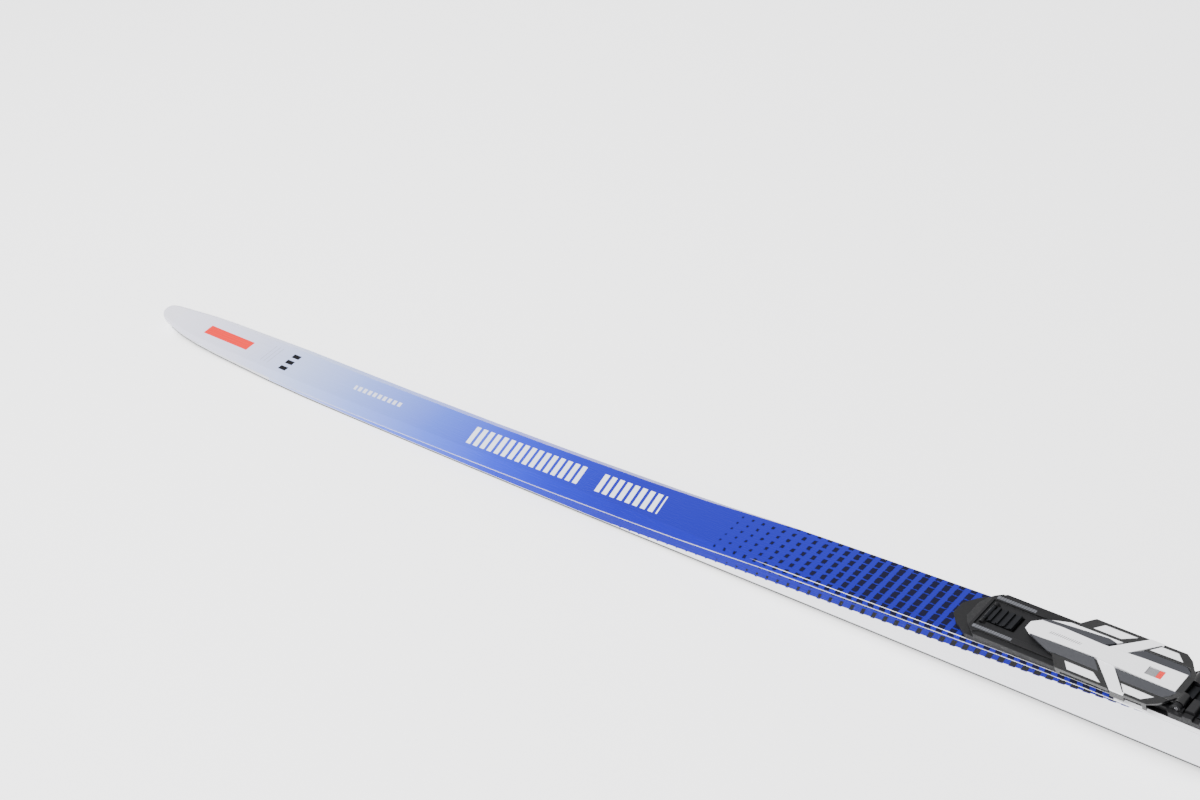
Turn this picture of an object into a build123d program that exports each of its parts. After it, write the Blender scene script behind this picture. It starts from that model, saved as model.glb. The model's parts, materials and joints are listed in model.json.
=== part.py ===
"""Skating cross country ski, 1870 mm, with rail plate, lever toe binding and heel plate.

Frame: +X towards the tip, +Y to the left, +Z up, millimetres. The origin is the bottom
centre of the ski's box, on the plane that the unloaded ski rests on.
"""
import math
import os

from build123d import *

os.makedirs("parts", exist_ok=True)

# ---------------------------------------------------------------- driving dimensions: ski
SKI_LENGTH = 1870.0
HALF_LENGTH = SKI_LENGTH / 2
CAMBER = 6.2
TIP_BASE_RISE = 9.8
TAIL_BASE_RISE = 1.5
FRONT_CONTACT = (265.0, 335.0)   # flat resting stretch, distance from the tip
REAR_CONTACT = (1755.0, 1815.0)
BASE_THICKNESS = 1.4
LOWER_LAMINATE = 0.5
TOP_SHEET = 0.8
UPPER_LAMINATE = 0.5
SIDEWALL = 3.5
SIDEWALL_RANGE = (160.0, 1740.0)
TIP_PIECE = 18.0
TAIL_PIECE = 24.0
GROOVE_RANGE = (150.0, 1810.0)
GROOVE_STEPS = ((3.6, 0.5), (2.6, 1.0))   # half width and depth, twice for a soft corner

# distance from the tip, half width, height of the top, bevel width, bevel drop
SECTIONS = (
    (0.0, 7.0, 14.3, 2.0, 1.0),
    (6.0, 9.2, 12.9, 2.0, 1.0),
    (20.0, 12.5, 11.1, 2.5, 1.2),
    (50.0, 16.9, 9.9, 3.5, 1.8),
    (100.0, 19.5, 9.7, 5.0, 2.7),
    (160.0, 21.5, 9.7, 6.0, 3.2),
    (240.0, 22.2, 10.2, 7.0, 4.0),
    (320.0, 22.2, 11.6, 7.0, 4.4),
    (436.0, 22.15, 14.8, 7.0, 4.8),
    (564.0, 22.1, 19.9, 6.5, 4.8),
    (640.0, 22.0, 23.1, 4.5, 3.5),
    (700.0, 21.95, 26.2, 1.8, 1.6),
    (780.0, 21.9, 30.6, 1.5, 1.5),
    (860.0, 21.8, 35.0, 1.5, 1.5),
    (960.0, 21.75, 38.7, 1.5, 1.5),
    (1040.0, 21.7, 39.3, 1.5, 1.5),
    (1120.0, 21.75, 38.9, 1.5, 1.5),
    (1200.0, 21.8, 37.8, 1.5, 1.5),
    (1330.0, 21.9, 34.8, 1.5, 1.5),
    (1454.0, 22.0, 30.9, 1.5, 1.5),
    (1550.0, 22.1, 27.3, 1.5, 1.5),
    (1628.0, 22.1, 23.6, 1.8, 1.8),
    (1740.0, 22.05, 17.0, 3.0, 2.5),
    (1800.0, 22.0, 13.6, 3.5, 2.6),
    (1870.0, 20.0, 10.0, 3.0, 2.0),
)
TIP_ARC = (6.0, 9.2)             # where the blunt tip arc ends: from the tip, half width
TAIL_CORNER = (8.0, 21.0, 13.0)  # length, half width before it and at the end face

# ---------------------------------------------------------------- driving dimensions: plate
PLATE_NOSE = 79.0
PLATE_TAIL = -480.0
PLATE_HALF_WIDTH = 20.2
SLAB_TOP = 40.0
RAIL_TOP = 41.9
RAIL_FRONT = 54.6
RAIL_REAR = -412.0
RAIL_HALF_BOTTOM = 10.0
RAIL_HALF_TOP = 11.2
RAIL_CLEARANCE = 0.2
SERRATION_PITCH = 2.5
SERRATION_WIDTH = 1.0
SERRATION_DEPTH = 0.5
WEDGE_FRONT = -413.0
SCREW_X = (5.0, -55.0, -150.0, -230.0, -330.0, -445.0)
SCREW_RADIUS = 1.9
SCREW_HEAD_RADIUS = 3.6
SCREW_LENGTH = 18.0

# ---------------------------------------------------------------- driving dimensions: toe unit
UNDERSIDE = 40.2
FLOOR_TOP = 43.1
TOE_FRONT = 66.0
TOE_WALL = 20.5
TOE_REAR = -130.0
DECK_REAR = -16.0
SCALE_RANGE = (26.0, 56.0)
LUG = (-42.0, -68.0)
AXIS_X = -95.5
AXIS_Z = 45.9
HUB_RADIUS = 3.75
CRANK_RADIUS = 2.7
CRANK_ANGLE = 36.9               # behind straight down when the lever is shut
CRANK_PIN_RADIUS = 0.85
LEVER_PIN_RADIUS = 1.25
PIN_CLEARANCE = 0.05
EAR_INNER = 14.4
EAR_OUTER = 17.4
HUB_INNER = 5.6
HUB_OUTER = 14.0
TOE_BAR_X = -110.5
SEAT_TOP = 44.3
GUIDE_RAIL_REAR = -204.5
GUIDE_RAIL_TOP = 45.6
RIDGE_TOP = 47.4

# ---------------------------------------------------------------- driving dimensions: lever
LEVER_TIP = 22.5
LEVER_BODY_REAR = -89.5         # the white body ends here, and the dark hinge end begins
SPINE_TOP = 49.6
WING_TOP = 48.2
WING_BOTTOM = 46.2
WING_HALF = 24.5
WING_FRONT = -12.0
WING_REAR = -88.0
LATCH = (-72.4, -65.2)
SHUT_MARK = (-76.4, -72.6)
LATCH_HALF = 3.3

# ---------------------------------------------------------------- driving dimensions: heel
HEEL_FRONT = -206.0
HEEL_REAR = -396.0
HEEL_HALF = 20.8
HEEL_WALL = 1.8
HEEL_BASE_TOP = 44.2

# ---------------------------------------------------------------- driving dimensions: clamps
CLAMP_LENGTH = 22.0
CLAMP_HALF = 6.6
CLAMP_BOSS = 1.6
CLAMP_PIN_RADIUS = 0.8
CLAMP_BOSS_HALF = 4.3
CLAMP_BOTTOM = 42.4
CLAMP_TOP = 44.0
CLAMP_AXIS_Z = 43.75
TOE_CLAMP_X = 53.0
HEEL_CLAMP_X = -371.0
SPRING_OUTER = 1.45
SPRING_INNER = 0.95
SPRING_RANGE = (4.5, 6.4)        # of each coil beside the clamp's boss


def along(station):
    """X of a point at this distance from the tip."""
    return HALF_LENGTH - station


# ---------------------------------------------------------------- helpers used inside builders
def block(x_range, y_range, z_range, mode=Mode.ADD):
    """Box between opposite corners, inside the current part."""
    spans = (x_range, y_range, z_range)
    centre = [(low + high) / 2 for low, high in spans]
    sizes = [abs(high - low) for low, high in spans]
    with Locations(tuple(centre)):
        Box(*sizes, mode=mode)


def side_slab(points, half_width, mode=Mode.ADD):
    """Outline in X and Z, extruded both ways across the ski."""
    with BuildSketch(Plane.XZ) as outline:
        with BuildLine():
            Polyline(*points, close=True)
        make_face()
    extrude(outline.sketch, amount=half_width, both=True, mode=mode)


def plan_slab(points, low, high, mode=Mode.ADD):
    """Outline in X and Y, extruded from one height to another."""
    with BuildSketch(Plane.XY.offset(low)) as outline:
        with BuildLine():
            Polyline(*points, close=True)
        make_face()
    extrude(outline.sketch, amount=high - low, mode=mode)


def mirrored_outline(half_outline):
    """Closed outline from its left half, listed from front to rear."""
    return list(half_outline) + [(x, -y) for x, y in reversed(half_outline)]


def cross_pin(x, z, radius, y_range, mode=Mode.ADD):
    """Cylinder across the ski, from one Y to another."""
    low, high = min(y_range), max(y_range)
    with Locations(Location((x, (low + high) / 2, z), (90, 0, 0))):
        Cylinder(radius, high - low, mode=mode)


def rail_channel(front, rear):
    """Dovetail channel that runs on the plate's rail with clearance."""
    with BuildSketch(Plane.YZ.offset(rear)) as outline:
        with BuildLine():
            bottom = RAIL_HALF_BOTTOM + RAIL_CLEARANCE
            top = RAIL_HALF_TOP + RAIL_CLEARANCE
            Polyline((-bottom, SLAB_TOP), (-top, RAIL_TOP + RAIL_CLEARANCE),
                     (top, RAIL_TOP + RAIL_CLEARANCE), (bottom, SLAB_TOP), close=True)
        make_face()
    extrude(outline.sketch, amount=front - rear, mode=Mode.SUBTRACT)


# ---------------------------------------------------------------- ski outlines
def base_curve(shift):
    """Underside of the ski from tip to tail, raised by shift, in the current line."""
    front_start, front_end = (along(s) for s in FRONT_CONTACT)
    rear_start, rear_end = (along(s) for s in REAR_CONTACT)
    middle = (front_end + rear_start) / 2
    quarter = (front_end - rear_start) / 4
    Spline((HALF_LENGTH, TIP_BASE_RISE + shift), (along(20), 6.2 + shift), (along(50), 4.2 + shift),
           (along(100), 2.4 + shift), (along(170), 1.1 + shift), (front_start, shift),
           tangents=((-1, -0.25), (-1, 0)))
    Line((front_start, shift), (front_end, shift))
    Spline((front_end, shift), (middle + quarter, 0.56 * CAMBER + shift), (middle, CAMBER + shift),
           (middle - quarter, 0.56 * CAMBER + shift), (rear_start, shift),
           tangents=((-1, 0), (-1, 0)))
    Line((rear_start, shift), (rear_end, shift))
    Spline((rear_end, shift), (-HALF_LENGTH, TAIL_BASE_RISE + shift), tangents=((-1, 0), (-1, 0.05)))


def base_slab(low, high, mode):
    """Layer between two raised copies of the underside, across the whole ski."""
    with BuildSketch(Plane.XZ) as outline:
        with BuildLine():
            base_curve(low)
            base_curve(high)
            Line((HALF_LENGTH, TIP_BASE_RISE + low), (HALF_LENGTH, TIP_BASE_RISE + high))
            Line((-HALF_LENGTH, TAIL_BASE_RISE + low), (-HALF_LENGTH, TAIL_BASE_RISE + high))
        make_face()
    extrude(outline.sketch, amount=35, both=True, mode=mode)


def bevel_triangle(row, drop, side):
    """Section of the cutter that takes the bevel off one top edge."""
    station, half_width, top, width, height = row
    slope = math.hypot(width, height)
    run, fall = width / slope, height / slope
    inner = (half_width - width - 4 * run, top - drop + 4 * fall)
    outer = (half_width + 12 * run, top - drop - height - 12 * fall)
    corner = (half_width + 12 * run, top - drop + 4 * fall)
    return [(side * y, z) for y, z in (inner, outer, corner)]


def below_top(drop):
    """Everything under the ski's bevelled top when that is lowered by drop."""
    rows = [(-4.0,) + SECTIONS[0][1:]] + list(SECTIONS[1:-1]) + [(1874.0,) + SECTIONS[-1][1:]]
    with BuildPart() as body:
        with BuildSketch(Plane.XZ):
            with BuildLine():
                Spline(*[(along(row[0]), row[2] - drop) for row in SECTIONS])
                Polyline((HALF_LENGTH, SECTIONS[0][2] - drop), (HALF_LENGTH, -10),
                         (-HALF_LENGTH, -10), (-HALF_LENGTH, SECTIONS[-1][2] - drop))
            make_face()
        extrude(amount=30, both=True)
        for side in (1, -1):
            for row in rows:
                with BuildSketch(Plane.YZ.offset(along(row[0]))):
                    with BuildLine():
                        Polyline(*bevel_triangle(row, drop, side), close=True)
                    make_face()
            loft(mode=Mode.SUBTRACT)
    return body.part


def edge_points(inset):
    """Points of the left edge of the plan outline, moved in by inset."""
    rows = [row for row in SECTIONS if TIP_ARC[0] <= row[0] <= 1800.0]
    points = [(along(row[0]), row[1] - inset) for row in rows]
    points.append((-HALF_LENGTH + TAIL_CORNER[0], TAIL_CORNER[1] - inset))
    return points


def edge_curve(inset, side):
    """Left or right edge of the plan outline in the current line."""
    Spline(*[(x, side * y) for x, y in edge_points(inset)])


def plan_prism(height=60.0):
    """Vertical prism of the ski's plan outline."""
    tip_x, tip_y = along(TIP_ARC[0]), TIP_ARC[1]
    length, half, end = TAIL_CORNER
    with BuildPart() as body:
        with BuildSketch(Plane.XY):
            with BuildLine():
                ThreePointArc((tip_x, tip_y), (HALF_LENGTH, 0), (tip_x, -tip_y))
                for side in (1, -1):
                    edge_curve(0.0, side)
                    ThreePointArc((-HALF_LENGTH + length, side * half),
                                  (-HALF_LENGTH + 0.3 * length, side * (end + 0.7 * (half - end))),
                                  (-HALF_LENGTH, side * end))
                Line((-HALF_LENGTH, end), (-HALF_LENGTH, -end))
            make_face()
        extrude(amount=height)
    return body.part


PLAN = plan_prism()
UNDER_TOP = below_top(0.0)
UNDER_SHEET = below_top(TOP_SHEET)
UNDER_LAMINATE = below_top(TOP_SHEET + UPPER_LAMINATE)
LAYERS_BELOW = BASE_THICKNESS + LOWER_LAMINATE
TIP_CUT = along(TIP_PIECE)
TAIL_CUT = -HALF_LENGTH + TAIL_PIECE


def between_ends():
    """Keep only the stretch between the tip piece and the tail piece."""
    block((TAIL_CUT, TIP_CUT), (-40, 40), (-20, 80), mode=Mode.INTERSECT)


def screw_head_top(x):
    """Height of a screw's head: level with the rail, or sunk in the tail wedge."""
    return RAIL_TOP if x > RAIL_REAR else 39.4


def drill_screws():
    """Cut the screws' own holes in the current layer of the ski."""
    for x in SCREW_X:
        with Locations((x, 0, screw_head_top(x) - SCREW_LENGTH / 2)):
            Cylinder(SCREW_RADIUS - 0.02, SCREW_LENGTH, mode=Mode.SUBTRACT)


def finish(builder, name):
    """Label a finished sub-part and write its file."""
    builder.part.label = name
    export_step(builder.part, f"parts/{name}.step")


# ---------------------------------------------------------------- ski body
def make_base():
    grooves = []
    for half_width, depth in GROOVE_STEPS:
        with BuildPart() as groove:
            base_slab(-1.0, depth, Mode.ADD)
            block((along(GROOVE_RANGE[1]), along(GROOVE_RANGE[0])), (-half_width, half_width),
                  (-20, 80), mode=Mode.INTERSECT)
        grooves.append(groove.part)
    with BuildPart() as running_base:
        add(PLAN)
        base_slab(0.0, BASE_THICKNESS, Mode.INTERSECT)
        between_ends()
        for groove_part in grooves:
            add(groove_part, mode=Mode.SUBTRACT)
    finish(running_base, "running_base")


def make_lower_laminate():
    with BuildPart() as lower_laminate:
        add(PLAN)
        base_slab(BASE_THICKNESS, LAYERS_BELOW, Mode.INTERSECT)
        between_ends()
    finish(lower_laminate, "lower_laminate")


def make_top_layers():
    for name, above, below in (("top_sheet", UNDER_TOP, UNDER_SHEET),
                               ("upper_laminate", UNDER_SHEET, UNDER_LAMINATE)):
        with BuildPart() as layer:
            add(PLAN)
            add(above, mode=Mode.INTERSECT)
            add(below, mode=Mode.SUBTRACT)
            between_ends()
            drill_screws()
        finish(layer, name)


def make_inside():
    """Core and the two sidewalls, cut from what lies between the laminates."""
    with BuildPart() as inside:
        add(PLAN)
        add(UNDER_LAMINATE, mode=Mode.INTERSECT)
        base_slab(LAYERS_BELOW, 60.0, Mode.INTERSECT)
        between_ends()
    front, rear = (along(s) for s in SIDEWALL_RANGE)
    strips = {}
    for side, name in ((1, "sidewall_left"), (-1, "sidewall_right")):
        with BuildPart() as strip:
            with BuildSketch(Plane.XY):
                with BuildLine():
                    points = edge_points(SIDEWALL)
                    edge_curve(SIDEWALL, side)
                    Polyline((points[0][0], side * points[0][1]), (points[0][0], side * 40),
                             (points[-1][0], side * 40), (points[-1][0], side * points[-1][1]))
                make_face()
            extrude(amount=60)
            block((rear, front), (-40, 40), (-20, 80), mode=Mode.INTERSECT)
        strips[name] = strip.part
    for name, strip_region in strips.items():
        with BuildPart() as sidewall:
            add(inside.part)
            add(strip_region, mode=Mode.INTERSECT)
        finish(sidewall, name)
    with BuildPart() as core:
        add(inside.part)
        for strip_region in strips.values():
            add(strip_region, mode=Mode.SUBTRACT)
        drill_screws()
    finish(core, "core")


def make_end_pieces():
    for name, low, high in (("tip_protector", TIP_CUT, HALF_LENGTH + 5),
                            ("tail_protector", -HALF_LENGTH - 5, TAIL_CUT)):
        with BuildPart() as piece:
            add(PLAN)
            add(UNDER_TOP, mode=Mode.INTERSECT)
            base_slab(0.0, 60.0, Mode.INTERSECT)
            block((low, high), (-40, 40), (-20, 80), mode=Mode.INTERSECT)
        finish(piece, name)


# ---------------------------------------------------------------- mounting plate
def serrations(first, count):
    """Fine cross grooves in the rail's top that a clamp shoe presses on, going rearwards."""
    for index in range(count):
        x = first - index * SERRATION_PITCH
        block((x - SERRATION_WIDTH / 2, x + SERRATION_WIDTH / 2), (-8, 8),
              (RAIL_TOP - SERRATION_DEPTH, RAIL_TOP + 1), mode=Mode.SUBTRACT)


PLATE_OUTLINE = [(PLATE_NOSE, 5.0), (PLATE_NOSE - 7, 12.5), (PLATE_NOSE - 20, PLATE_HALF_WIDTH),
                 (PLATE_TAIL + 26, PLATE_HALF_WIDTH), (PLATE_TAIL + 8, 15.0), (PLATE_TAIL, 6.0)]


def make_plate():
    with BuildPart() as mounting_plate:
        side_slab([(PLATE_NOSE + 5, 20), (PLATE_NOSE + 5, 36.2), (58, SLAB_TOP),
                   (WEDGE_FRONT, SLAB_TOP), (PLATE_TAIL - 5, SLAB_TOP), (PLATE_TAIL - 5, 20)], 40)
        plan_slab(mirrored_outline(PLATE_OUTLINE), 0, 80, mode=Mode.INTERSECT)
        with BuildSketch(Plane.YZ.offset(RAIL_REAR)):
            with BuildLine():
                Polyline((-RAIL_HALF_BOTTOM, SLAB_TOP - 1), (-RAIL_HALF_BOTTOM, SLAB_TOP),
                         (-RAIL_HALF_TOP, RAIL_TOP), (RAIL_HALF_TOP, RAIL_TOP),
                         (RAIL_HALF_BOTTOM, SLAB_TOP), (RAIL_HALF_BOTTOM, SLAB_TOP - 1), close=True)
            make_face()
        extrude(amount=RAIL_FRONT - RAIL_REAR)
        block((PLATE_TAIL + 26, WEDGE_FRONT), (-PLATE_HALF_WIDTH, PLATE_HALF_WIDTH),
              (SLAB_TOP - 1, RAIL_TOP + 0.6))
        side_slab([(PLATE_TAIL - 10, 60), (WEDGE_FRONT - 14, 60), (WEDGE_FRONT - 14, RAIL_TOP + 0.6),
                   (WEDGE_FRONT - 34, RAIL_TOP - 1.2), (PLATE_TAIL - 10, 32.2)], 40, mode=Mode.SUBTRACT)
        add(UNDER_TOP, mode=Mode.SUBTRACT)
        serrations(TOE_CLAMP_X - 0.5, 10)
        serrations(HEEL_CLAMP_X - 8.0, 12)
        for x in SCREW_X:
            with Locations((x, 0, screw_head_top(x))):
                CounterSinkHole(SCREW_RADIUS, SCREW_HEAD_RADIUS, depth=30, counter_sink_angle=90)
        # pocket over the screw that sits in the tail wedge
        with Locations((SCREW_X[-1], 0, screw_head_top(SCREW_X[-1]) + 5)):
            Cylinder(SCREW_HEAD_RADIUS, 10, mode=Mode.SUBTRACT)
    finish(mounting_plate, "mounting_plate")


def make_screws():
    with BuildPart() as plate_screws:
        for x in SCREW_X:
            top = screw_head_top(x)
            with Locations((x, 0, top - SCREW_LENGTH / 2)):
                Cylinder(SCREW_RADIUS - 0.02, SCREW_LENGTH)
            cone = SCREW_HEAD_RADIUS - SCREW_RADIUS
            with Locations((x, 0, top - cone / 2 - 0.02)):
                Cone(SCREW_RADIUS - 0.02, SCREW_HEAD_RADIUS - 0.04, cone - 0.02)
            for angle in (0, 90):
                with Locations(Location((x, 0, top), (0, 0, angle))):
                    Box(3.6, 0.7, 1.6, mode=Mode.SUBTRACT)
    finish(plate_screws, "plate_screws")


# ---------------------------------------------------------------- toe unit
def make_toe_base():
    nose = [(TOE_FRONT, 7.0), (TOE_FRONT - 5, 13.8), (TOE_FRONT - 14, TOE_WALL)]
    outline = nose + [(DECK_REAR, TOE_WALL), (DECK_REAR - 4, 14.0), (LUG[0] + 2, 14.0), (LUG[0], TOE_WALL),
                      (LUG[1], TOE_WALL), (LUG[1] - 3, EAR_OUTER), (AXIS_X + 7, EAR_OUTER),
                      (AXIS_X + 4, TOE_WALL), (TOE_REAR, TOE_WALL)]
    with BuildPart() as toe_base:
        side_slab([(TOE_FRONT + 2, UNDERSIDE), (TOE_FRONT + 2, 41.2), (TOE_FRONT - 7, 44.0),
                   (18, 44.9), (DECK_REAR, 44.9), (DECK_REAR - 3, 44.0), (TOE_REAR, 44.0),
                   (TOE_REAR, UNDERSIDE)], 40)
        plan_slab(mirrored_outline(outline), 0, 80, mode=Mode.INTERSECT)
        # bevelled shoulders beside the two long ribs of the front deck
        for side in (1, -1):
            plan_slab([(TOE_FRONT - 8, side * 21), (TOE_FRONT - 16, side * 16.8), (DECK_REAR + 6, side * 16.8),
                       (DECK_REAR + 2, side * 21)], 43.3, 50, mode=Mode.SUBTRACT)
            # groove for the position scale strip on top of each rib
            block(SCALE_RANGE, (side * 13.2, side * 15.8), (44.0, 46), mode=Mode.SUBTRACT)
        # sunk middle deck and the clamp's window through the floor
        block((DECK_REAR - 4, TOE_CLAMP_X + 4), (-12.4, 12.4), (FLOOR_TOP, 50), mode=Mode.SUBTRACT)
        block((TOE_CLAMP_X - CLAMP_LENGTH - 1.5, TOE_CLAMP_X + 2.2), (-CLAMP_HALF - 0.4, CLAMP_HALF + 0.4),
              (30, 60), mode=Mode.SUBTRACT)
        clamp_housing(TOE_CLAMP_X)
        # hollow behind the deck for the jaw, open floor round the lever's hubs
        block((AXIS_X + 12, DECK_REAR - 8), (-11, 11), (FLOOR_TOP, 60), mode=Mode.SUBTRACT)
        block((AXIS_X - 5, AXIS_X + 12), (-EAR_INNER, EAR_INNER), (30, 60), mode=Mode.SUBTRACT)
        # ears that hold the lever pins
        for side in (1, -1):
            block((AXIS_X - 4.5, AXIS_X + 4.5), (side * EAR_INNER, side * EAR_OUTER), (42, AXIS_Z))
            cross_pin(AXIS_X, AXIS_Z, 3.2, (side * EAR_INNER, side * EAR_OUTER))
        # side walls behind the lever, slot of the jaw, bed of the saddle
        for side in (1, -1):
            block((TOE_REAR, AXIS_X - 6), (side * 17, side * TOE_WALL), (43.5, GUIDE_RAIL_TOP))
        block((TOE_REAR - 1, AXIS_X - 5), (-16.6, 16.6), (FLOOR_TOP, 60), mode=Mode.SUBTRACT)
        block((TOE_BAR_X + 1.4, AXIS_X - 4), (-5.3, 5.3), (30, 60), mode=Mode.SUBTRACT)
        block((TOE_BAR_X - 2.6, TOE_BAR_X + 2.6), (-30, 30), (SEAT_TOP - 0.6, 60), mode=Mode.SUBTRACT)
        rail_channel(RAIL_FRONT + 0.4, TOE_REAR - 1)
        for side in (1, -1):
            cross_pin(AXIS_X, AXIS_Z, LEVER_PIN_RADIUS, (side * (EAR_INNER - 1), side * (EAR_OUTER + 1)),
                      mode=Mode.SUBTRACT)
    finish(toe_base, "toe_base")


def clamp_housing(x):
    """Lugs and pin hole of a clamp, in the current part."""
    for side in (1, -1):
        block((x - 2.2, x + 2.2), (side * (CLAMP_HALF + 0.4), side * (CLAMP_HALF + 3.0)), (42.2, CLAMP_AXIS_Z))
        cross_pin(x, CLAMP_AXIS_Z, 1.7, (side * (CLAMP_HALF + 0.4), side * (CLAMP_HALF + 3.0)))
    cross_pin(x, CLAMP_AXIS_Z, CLAMP_PIN_RADIUS, (-CLAMP_HALF - 4, CLAMP_HALF + 4), mode=Mode.SUBTRACT)


def make_clamp(x, names):
    """Sprung clamp with a shoe on the serrated rail, its pin and its spring."""
    clamp_name, pin_name, spring_name = names
    shoe_x = x - 15.0
    with BuildPart() as clamp:
        block((x - CLAMP_LENGTH, x - 2.2), (-CLAMP_HALF, CLAMP_HALF), (CLAMP_BOTTOM, CLAMP_TOP))
        block((x - 2.3, x), (-CLAMP_BOSS_HALF, CLAMP_BOSS_HALF), (CLAMP_BOTTOM, CLAMP_TOP))
        cross_pin(x, CLAMP_AXIS_Z, CLAMP_BOSS, (-CLAMP_BOSS_HALF, CLAMP_BOSS_HALF))
        block((shoe_x - 5.0, shoe_x + 5.0), (-CLAMP_HALF + 0.4, CLAMP_HALF - 0.4),
              (RAIL_TOP + 0.05, CLAMP_BOTTOM))
        for index in range(4):
            rib_x = x - 4.4 - index * 5.4
            block((rib_x - 1.0, rib_x + 1.0), (-CLAMP_HALF, CLAMP_HALF), (CLAMP_TOP, CLAMP_TOP + 1.2))
        cross_pin(x, CLAMP_AXIS_Z, CLAMP_PIN_RADIUS + PIN_CLEARANCE, (-10, 10), mode=Mode.SUBTRACT)
    finish(clamp, clamp_name)
    with BuildPart() as pin:
        cross_pin(x, CLAMP_AXIS_Z, CLAMP_PIN_RADIUS, (-CLAMP_HALF - 3.0, CLAMP_HALF + 3.0))
    finish(pin, pin_name)
    with BuildPart() as spring:
        low, high = SPRING_RANGE
        for side in (1, -1):
            cross_pin(x, CLAMP_AXIS_Z, SPRING_OUTER, (side * low, side * high))
            # leg that rests on the floor in front of the coil
            block((x, x + 3.2), (side * (low + 0.2), side * (low + 0.7)), (FLOOR_TOP, FLOOR_TOP + 0.5))
        cross_pin(x, CLAMP_AXIS_Z, SPRING_INNER, (-high - 1, high + 1), mode=Mode.SUBTRACT)
    finish(spring, spring_name)


def make_toe_details():
    with BuildPart() as scale_strips:
        for side in (1, -1):
            block((SCALE_RANGE[0] + 0.1, SCALE_RANGE[1] - 0.1), (side * 13.3, side * 15.7), (44.0, 44.7))
            for index in range(14):
                x = SCALE_RANGE[0] + 2.0 + index * 2.0
                block((x - 0.5, x + 0.5), (side * 13.3, side * 15.7), (44.7, 45.0))
    finish(scale_strips, "scale_strips")

    with BuildPart() as toe_bar_saddle:
        block((TOE_BAR_X - 5.2, TOE_BAR_X + 1.2), (-16, 16), (FLOOR_TOP, SEAT_TOP))
        block((TOE_BAR_X - 5.2, TOE_BAR_X - 2.6), (-16, 16), (SEAT_TOP, 48.2))
        fillet(toe_bar_saddle.edges().filter_by(Axis.Y).sort_by(Axis.Z)[-2:], 0.8)
    finish(toe_bar_saddle, "toe_bar_saddle")

    with BuildPart() as flexor:
        for side in (1, -1):
            block((TOE_BAR_X + 2.8, AXIS_X - 5.6), (side * 5.6, side * 16), (FLOOR_TOP, 47.2))
        fillet(flexor.edges().filter_by(Axis.Y).group_by(Axis.Z)[-1], 1.0)
    finish(flexor, "flexor")

    with BuildPart() as lever_pins:
        for side in (1, -1):
            cross_pin(AXIS_X, AXIS_Z, LEVER_PIN_RADIUS, (side * (HUB_INNER + 2.6), side * EAR_OUTER))
    finish(lever_pins, "lever_pins")


def make_guide_rail():
    with BuildPart() as guide_rail:
        side_slab([(TOE_REAR - 0.0, UNDERSIDE), (TOE_REAR, GUIDE_RAIL_TOP),
                   (GUIDE_RAIL_REAR + 4, GUIDE_RAIL_TOP), (GUIDE_RAIL_REAR, GUIDE_RAIL_TOP - 4.5),
                   (GUIDE_RAIL_REAR, UNDERSIDE)], TOE_WALL)
        for side in (1, -1):
            side_slab_at((TOE_REAR - 3, GUIDE_RAIL_REAR + 7), side * 7.5, 2.0)
            # long shallow channel outside each ridge, where the boot's sole grooves run
            block((TOE_REAR - 4, GUIDE_RAIL_REAR + 8), (side * 11.5, side * 17.0), (44.6, 46), mode=Mode.SUBTRACT)
        rail_channel(TOE_REAR + 1, GUIDE_RAIL_REAR - 1)
    finish(guide_rail, "guide_rail")


def side_slab_at(x_range, y, half_width):
    """Raised ridge with sloped ends on the guide rail."""
    front, rear = x_range
    with BuildSketch(Plane.XZ.offset(-y)) as outline:
        with BuildLine():
            Polyline((front, GUIDE_RAIL_TOP - 0.5), (front - 3, RIDGE_TOP), (rear + 3, RIDGE_TOP),
                     (rear, GUIDE_RAIL_TOP - 0.5), close=True)
        make_face()
    extrude(outline.sketch, amount=half_width, both=True)


# ---------------------------------------------------------------- jaw
def crank_centre():
    """Crank pin centre with the lever shut, in X and Z."""
    angle = math.radians(CRANK_ANGLE)
    return AXIS_X - CRANK_RADIUS * math.sin(angle), AXIS_Z - CRANK_RADIUS * math.cos(angle)


def make_jaw():
    crank_x, crank_z = crank_centre()
    with BuildPart() as jaw:
        block((TOE_BAR_X + 4.6, crank_x + 3.0), (-5, 5), (42.1, 44.0))
        block((crank_x - 2.8, crank_x + 3.0), (-5, 5), (42.1, 46.0))
        block((TOE_BAR_X + 2.8, TOE_BAR_X + 4.8), (-5, 5), (42.1, 50.2))
        block((TOE_BAR_X + 0.2, TOE_BAR_X + 3.0), (-5, 5), (48.9, 50.2))
        slot = CRANK_PIN_RADIUS + 0.15
        block((crank_x - slot, crank_x + slot), (-6, 6), (40, 44.9), mode=Mode.SUBTRACT)
        top_edges = jaw.edges().filter_by(Axis.Y).group_by(Axis.Z)[-1]
        chamfer(top_edges.sort_by(Axis.X)[-1:], 0.6)
    finish(jaw, "jaw")


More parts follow.
